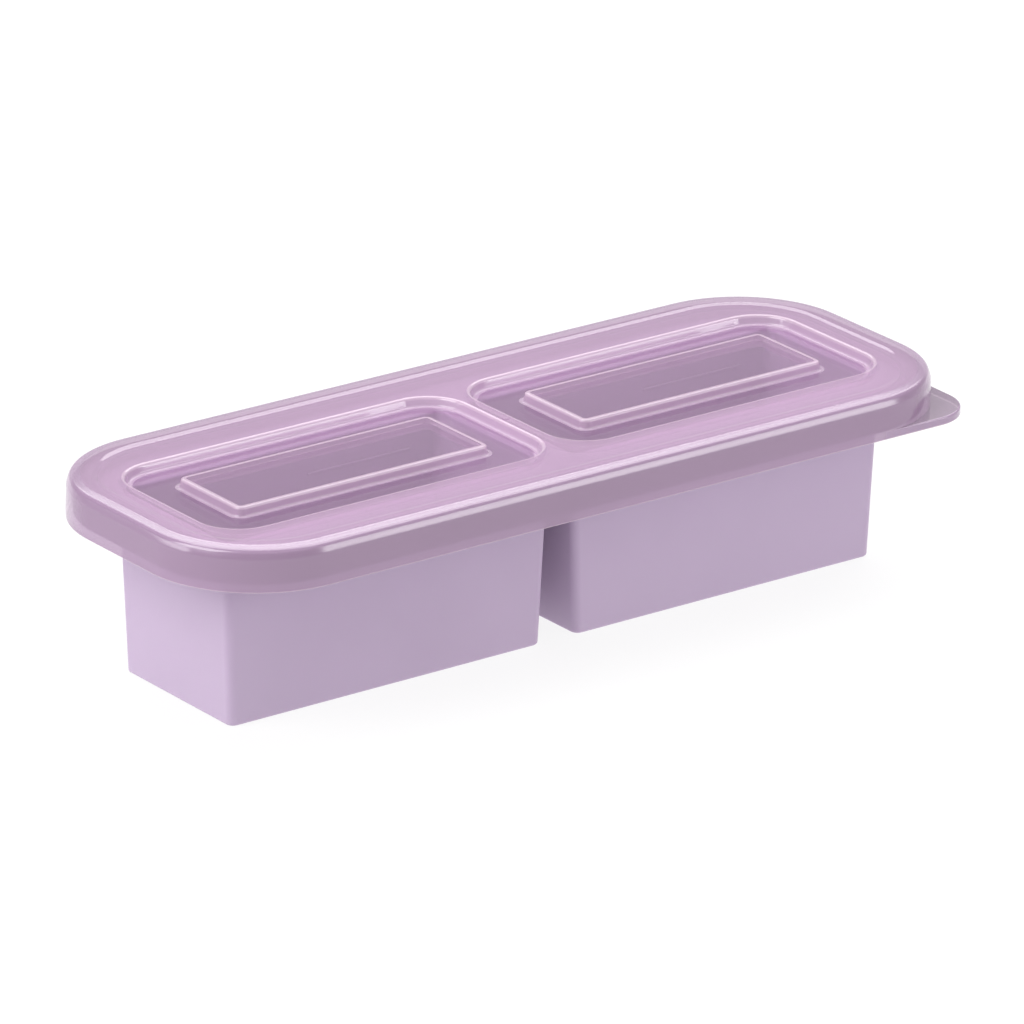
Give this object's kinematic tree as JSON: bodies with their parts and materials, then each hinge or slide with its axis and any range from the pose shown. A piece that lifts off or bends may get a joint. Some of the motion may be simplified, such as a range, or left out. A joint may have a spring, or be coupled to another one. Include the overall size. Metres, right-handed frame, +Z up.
{
  "type": "baby food freezer tray",
  "caption": "Oblong silicone freezer tray with rectangular wells side by side and a clear snap-over lid with a corner peel tab.",
  "frame": {"origin": "on the surface that the tray stands on, under the middle of the tray with its lid on", "axes": "+X along the row of wells, +Y across it from front to back, +Z up; the lid's peel tab is at the +X, -Y corner"},
  "size_m": [0.25, 0.0956, 0.0561],
  "materials": {
    "silicone": "soft satin, pale lilac",
    "steel": "satin",
    "clear_plastic": "clear, glossy"
  },
  "bodies": {
    "tray": {"silicone_tray": "silicone", "rim_frame": "steel"},
    "lid": {"lid": "clear_plastic"}
  },
  "joints": [
    {"name": "lid_lift", "type": "slide", "parent": "tray", "child": "lid", "axis": [0, 0, 1], "range_m": [0, 0.06]}
  ]
}
